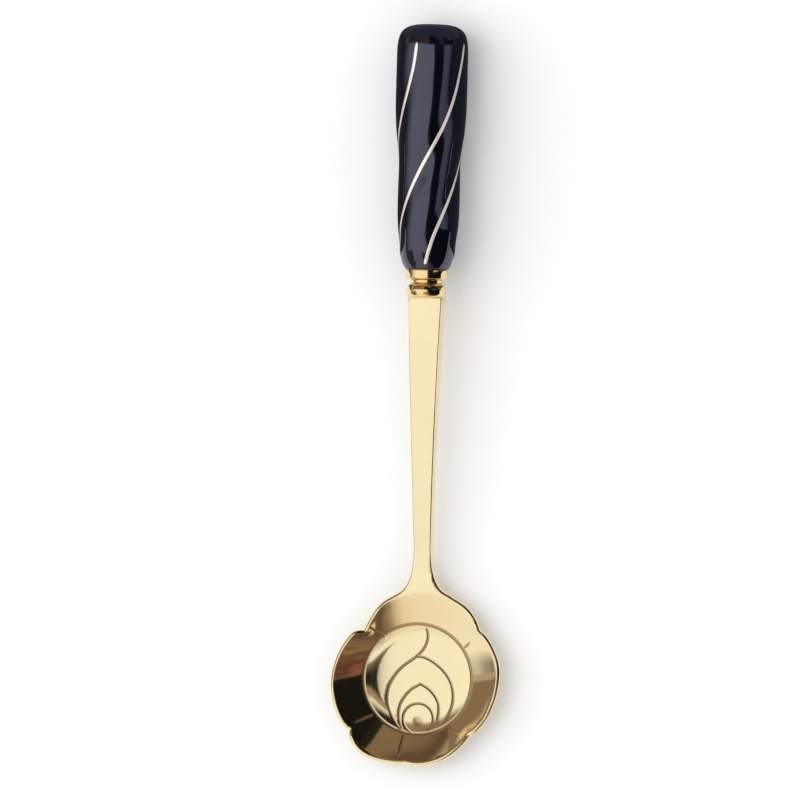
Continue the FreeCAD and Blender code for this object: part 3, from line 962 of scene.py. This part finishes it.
def card(name, corners, color, strength=1.0, mottle=None):
    ob = plane(name, corners)
    m = bpy.data.materials.new(name)
    m.use_nodes = True
    nt = m.node_tree
    nt.nodes.clear()
    out = nt.nodes.new("ShaderNodeOutputMaterial")
    em = nt.nodes.new("ShaderNodeEmission")
    em.inputs["Color"].default_value = (*color, 1)
    em.inputs["Strength"].default_value = strength
    if mottle:
        n = noise(nt, 38.0, 3.0, 0.55)
        c = ramp(nt, n.outputs["Fac"], [(0.36, mottle), (0.56, color)])
        nt.links.new(c.outputs["Color"], em.inputs["Color"])
    nt.links.new(em.outputs[0], out.inputs["Surface"])
    assign(ob, m)
    ob.visible_camera = False
    ob.visible_diffuse = False
    ob.visible_shadow = False
    ob.visible_transmission = False
    return ob


# cards round the bowl, as a studio sets them: black to the right and overhead, brown in front
card("black_side", [(0.065, -0.068, 0.004), (0.065, 0.034, 0.004), (0.065, 0.034, 0.15), (0.065, -0.068, 0.15)],
     (0.004, 0.004, 0.004))
card("black_corner", [(0.065, 0.0342, 0.070), (0.065, 0.085, 0.070), (0.065, 0.085, 0.19), (0.065, 0.0342, 0.19)],
     (0.012, 0.010, 0.008))
card("black_top", [(-0.029, -0.078, 0.25), (-0.029, -0.050, 0.25), (0.30, -0.050, 0.25), (0.30, -0.078, 0.25)],
     (0.004, 0.004, 0.004))
card("tan_top", [(-0.029, -0.0498, 0.25), (-0.029, -0.031, 0.25), (0.30, -0.031, 0.25), (0.30, -0.0498, 0.25)],
     (0.36, 0.26, 0.18))
card("brown_top", [(-0.029, -0.094, 0.25), (-0.029, -0.0782, 0.25), (0.30, -0.0782, 0.25), (0.30, -0.094, 0.25)],
     (0.12, 0.085, 0.06))
card("red_side", [(0.065, -0.092, 0.004), (0.065, -0.0682, 0.004), (0.065, -0.0682, 0.15), (0.065, -0.092, 0.15)],
     (0.24, 0.10, 0.075), mottle=(0.05, 0.02, 0.016))
card("brown_side", [(0.065, -0.120, 0.004), (0.065, -0.0922, 0.004), (0.065, -0.0922, 0.15), (0.065, -0.120, 0.15)],
     (0.32, 0.19, 0.12), mottle=(0.09, 0.05, 0.03))
card("left_side", [(-0.075, -0.060, 0.012), (-0.075, 0.012, 0.012), (-0.075, 0.012, 0.075), (-0.075, -0.060, 0.075)],
     (0.24, 0.175, 0.125))
card("left_edge", [(-0.075, -0.067, 0.012), (-0.075, -0.0602, 0.012), (-0.075, -0.0602, 0.072), (-0.075, -0.067, 0.072)],
     (0.46, 0.39, 0.31))
card("butt_dark", [(-0.03, 0.084, 0.0002), (0.03, 0.084, 0.0002), (0.03, 0.084, 0.024), (-0.03, 0.084, 0.024)],
     (0.16, 0.17, 0.20))
# dark sheet over the floor round the handle, seen only in reflections: painted shade, so the floor there is
# reflected as if it lay in shadow
card("handle_floor_shade_card", [(-3.9, 0.0285, 0.0001), (3.9, 0.0285, 0.0001), (3.9, 0.25, 0.0001), (-3.9, 0.25, 0.0001)],
     (0.07, 0.07, 0.075))

# world: what polished surfaces see, and an even white for everything else
world = bpy.data.worlds.new("studio")
bpy.context.scene.world = world
world.use_nodes = True
wn = world.node_tree
wn.nodes.clear()
wout = wn.nodes.new("ShaderNodeOutputWorld")
wmix = wn.nodes.new("ShaderNodeMixShader")
wl = wn.links
lp = wn.nodes.new("ShaderNodeLightPath")
bg_soft = wn.nodes.new("ShaderNodeBackground")
bg_soft.inputs["Color"].default_value = (1.0, 1.0, 1.0, 1)
bg_soft.inputs["Strength"].default_value = 0.88
bg_gloss = wn.nodes.new("ShaderNodeBackground")
bg_gloss.inputs["Strength"].default_value = 1.0
tc = wn.nodes.new("ShaderNodeTexCoord")
sep = wn.nodes.new("ShaderNodeSeparateXYZ")
wl.new(tc.outputs["Generated"], sep.inputs[0])


def wmath(op, a, b=None):
    n = wn.nodes.new("ShaderNodeMath")
    n.operation = op
    for k, v in enumerate((a, b)):
        if v is None:
            continue
        if isinstance(v, (int, float)):
            n.inputs[k].default_value = v
        else:
            wl.new(v, n.inputs[k])
    return n.outputs[0]


def wramp(fac, stops):
    r = wn.nodes.new("ShaderNodeValToRGB")
    els = r.color_ramp.elements
    while len(els) < len(stops):
        els.new(0.5)
    for el, (p, c) in zip(els, stops):
        el.position = p
        el.color = (*c, 1.0)
    wl.new(fac, r.inputs["Fac"])
    return r.outputs["Color"]


ang = wmath("ARCTAN2", sep.outputs["X"], sep.outputs["Z"])          # 0 overhead, + to the right
ang01 = wmath("ADD", wmath("DIVIDE", ang, math.radians(180.0)), 0.5)  # -90..90 deg -> 0..1


def at(deg):
    return (deg + 90.0) / 180.0


band = wramp(ang01, [(0.0, (0.10, 0.09, 0.085)), (at(-80), (0.28, 0.25, 0.23)), (at(-66), (0.78, 0.78, 0.79)),
                     (at(-50), (1.06, 1.06, 1.06)), (at(12), (1.0, 1.0, 1.0)), (at(17), (0.03, 0.028, 0.028)),
                     (at(45), (0.02, 0.02, 0.02)), (at(53), (0.54, 0.54, 0.57)), (at(72), (0.45, 0.45, 0.48)),
                     (at(82), (0.05, 0.05, 0.05))])
# towards the foot of the picture: azimuth of the direction, 0 straight down it, + to the right
azi = wmath("ARCTAN2", sep.outputs["X"], wmath("MULTIPLY", sep.outputs["Y"], -1.0))
azi01 = wmath("ADD", wmath("DIVIDE", azi, math.radians(180.0)), 0.5)
front = wramp(azi01, [(at(-89), (0.45, 0.38, 0.30)), (at(-78), (0.68, 0.61, 0.52)), (at(-66), (0.96, 0.95, 0.93)),
                      (at(-12), (0.91, 0.86, 0.78)), (at(2), (0.84, 0.75, 0.60)), (at(11), (0.60, 0.51, 0.40)),
                      (at(18), (0.34, 0.27, 0.20)), (at(34), (0.11, 0.075, 0.06)), (at(52), (0.28, 0.17, 0.11)),
                      (at(72), (0.22, 0.11, 0.085))])
back = wramp(sep.outputs["Z"], [(0.0, (0.46, 0.38, 0.31)), (0.20, (0.40, 0.33, 0.26)), (0.29, (0.11, 0.072, 0.052)),
                                (0.38, (0.12, 0.076, 0.054)), (0.48, (0.20, 0.14, 0.10)), (0.90, (0.26, 0.19, 0.13)),
                                (0.98, (0.36, 0.29, 0.22))])
ysel = wmath("MULTIPLY", wmath("ADD", sep.outputs["Y"], 1.0), 0.5)    # -1..1 -> 0..1
bmask = wramp(ysel, [(0.5 + 0.070, (0, 0, 0)), (0.5 + 0.120, (1, 1, 1))])
dmask = wmath("MAXIMUM", wmath("MULTIPLY", wramp(ang01, [(at(-7), (0, 0, 0)), (at(0), (1, 1, 1))]),
                               wramp(sep.outputs["Z"], [(0.74, (0, 0, 0)), (0.80, (1, 1, 1))])),
              wramp(ang01, [(at(38), (0, 0, 0)), (at(50), (1, 1, 1))]))
fmask = wramp(ysel, [(0.5 - 0.19, (1, 1, 1)), (0.5 - 0.11, (0, 0, 0))])


def wmixc(fac, a, b):
    n = wn.nodes.new("ShaderNodeMix")
    n.data_type = "RGBA"
    wl.new(fac, n.inputs[0])
    wl.new(a, n.inputs[6])
    wl.new(b, n.inputs[7])
    return n.outputs[2]


dark = wramp(sep.outputs["Z"], [(0.0, (0.012, 0.012, 0.012)), (1.0, (0.012, 0.012, 0.012))])
wl.new(wmixc(fmask, wmixc(bmask, band, wmixc(dmask, back, dark)), front), bg_gloss.inputs["Color"])
wl.new(bg_soft.outputs[0], wmix.inputs[1])
wl.new(bg_gloss.outputs[0], wmix.inputs[2])
wl.new(lp.outputs["Is Glossy Ray"], wmix.inputs[0])
wl.new(wmix.outputs[0], wout.inputs["Surface"])


def area(name, loc, target, size, energy, glossy=False, size_y=None):
    l = bpy.data.lights.new(name, "AREA")
    l.energy = energy
    l.shape = "RECTANGLE"
    l.size = size
    l.size_y = size_y or size
    ob = bpy.data.objects.new(name, l)
    bpy.context.scene.collection.objects.link(ob)
    ob.location = loc
    ob.rotation_euler = (Vector(target) - Vector(loc)).to_track_quat("-Z", "Y").to_euler()
    ob.visible_glossy = glossy
    return ob


area("key_left", (-0.62, 0.1, 0.85), (0, 0, 0), 0.8, 4.6, size_y=1.2)

# ------------------------------------------------------------------ camera
ALPHA, ROLL, PX = math.radians(11.0), math.radians(1.33), 0.2089
DIST = 2000.0
right0 = Vector((math.cos(ALPHA), 0, -math.sin(ALPHA)))
up0 = Vector((0, 1, 0))
back_v = Vector((math.sin(ALPHA), 0, math.cos(ALPHA)))
right = right0 * math.cos(ROLL) + up0 * math.sin(ROLL)
up = up0 * math.cos(ROLL) - right0 * math.sin(ROLL)
P = Vector((FLOWER_X + OX, OY, FLOOR_Z))
target = P - right * ((418.1 - 400) * PX) - up * ((400 - 678.8) * PX)
cam = bpy.data.cameras.new("camera")
cam.sensor_width = 36.0
cam.lens = 36.0 * DIST / (800 * PX)
cam.clip_start, cam.clip_end = 0.05, 20.0
cam_ob = bpy.data.objects.new("camera", cam)
bpy.context.scene.collection.objects.link(cam_ob)
rot = Matrix((right, up, back_v)).transposed()
cam_ob.matrix_world = Matrix.Translation((target + back_v * DIST) * MM) @ rot.to_4x4()
bpy.context.scene.camera = cam_ob

bpy.context.scene.view_settings.view_transform = "Standard"
bpy.context.scene.view_settings.look = "None"
bpy.context.scene.view_settings.exposure = 0.0
bpy.context.scene.view_settings.gamma = 1.0
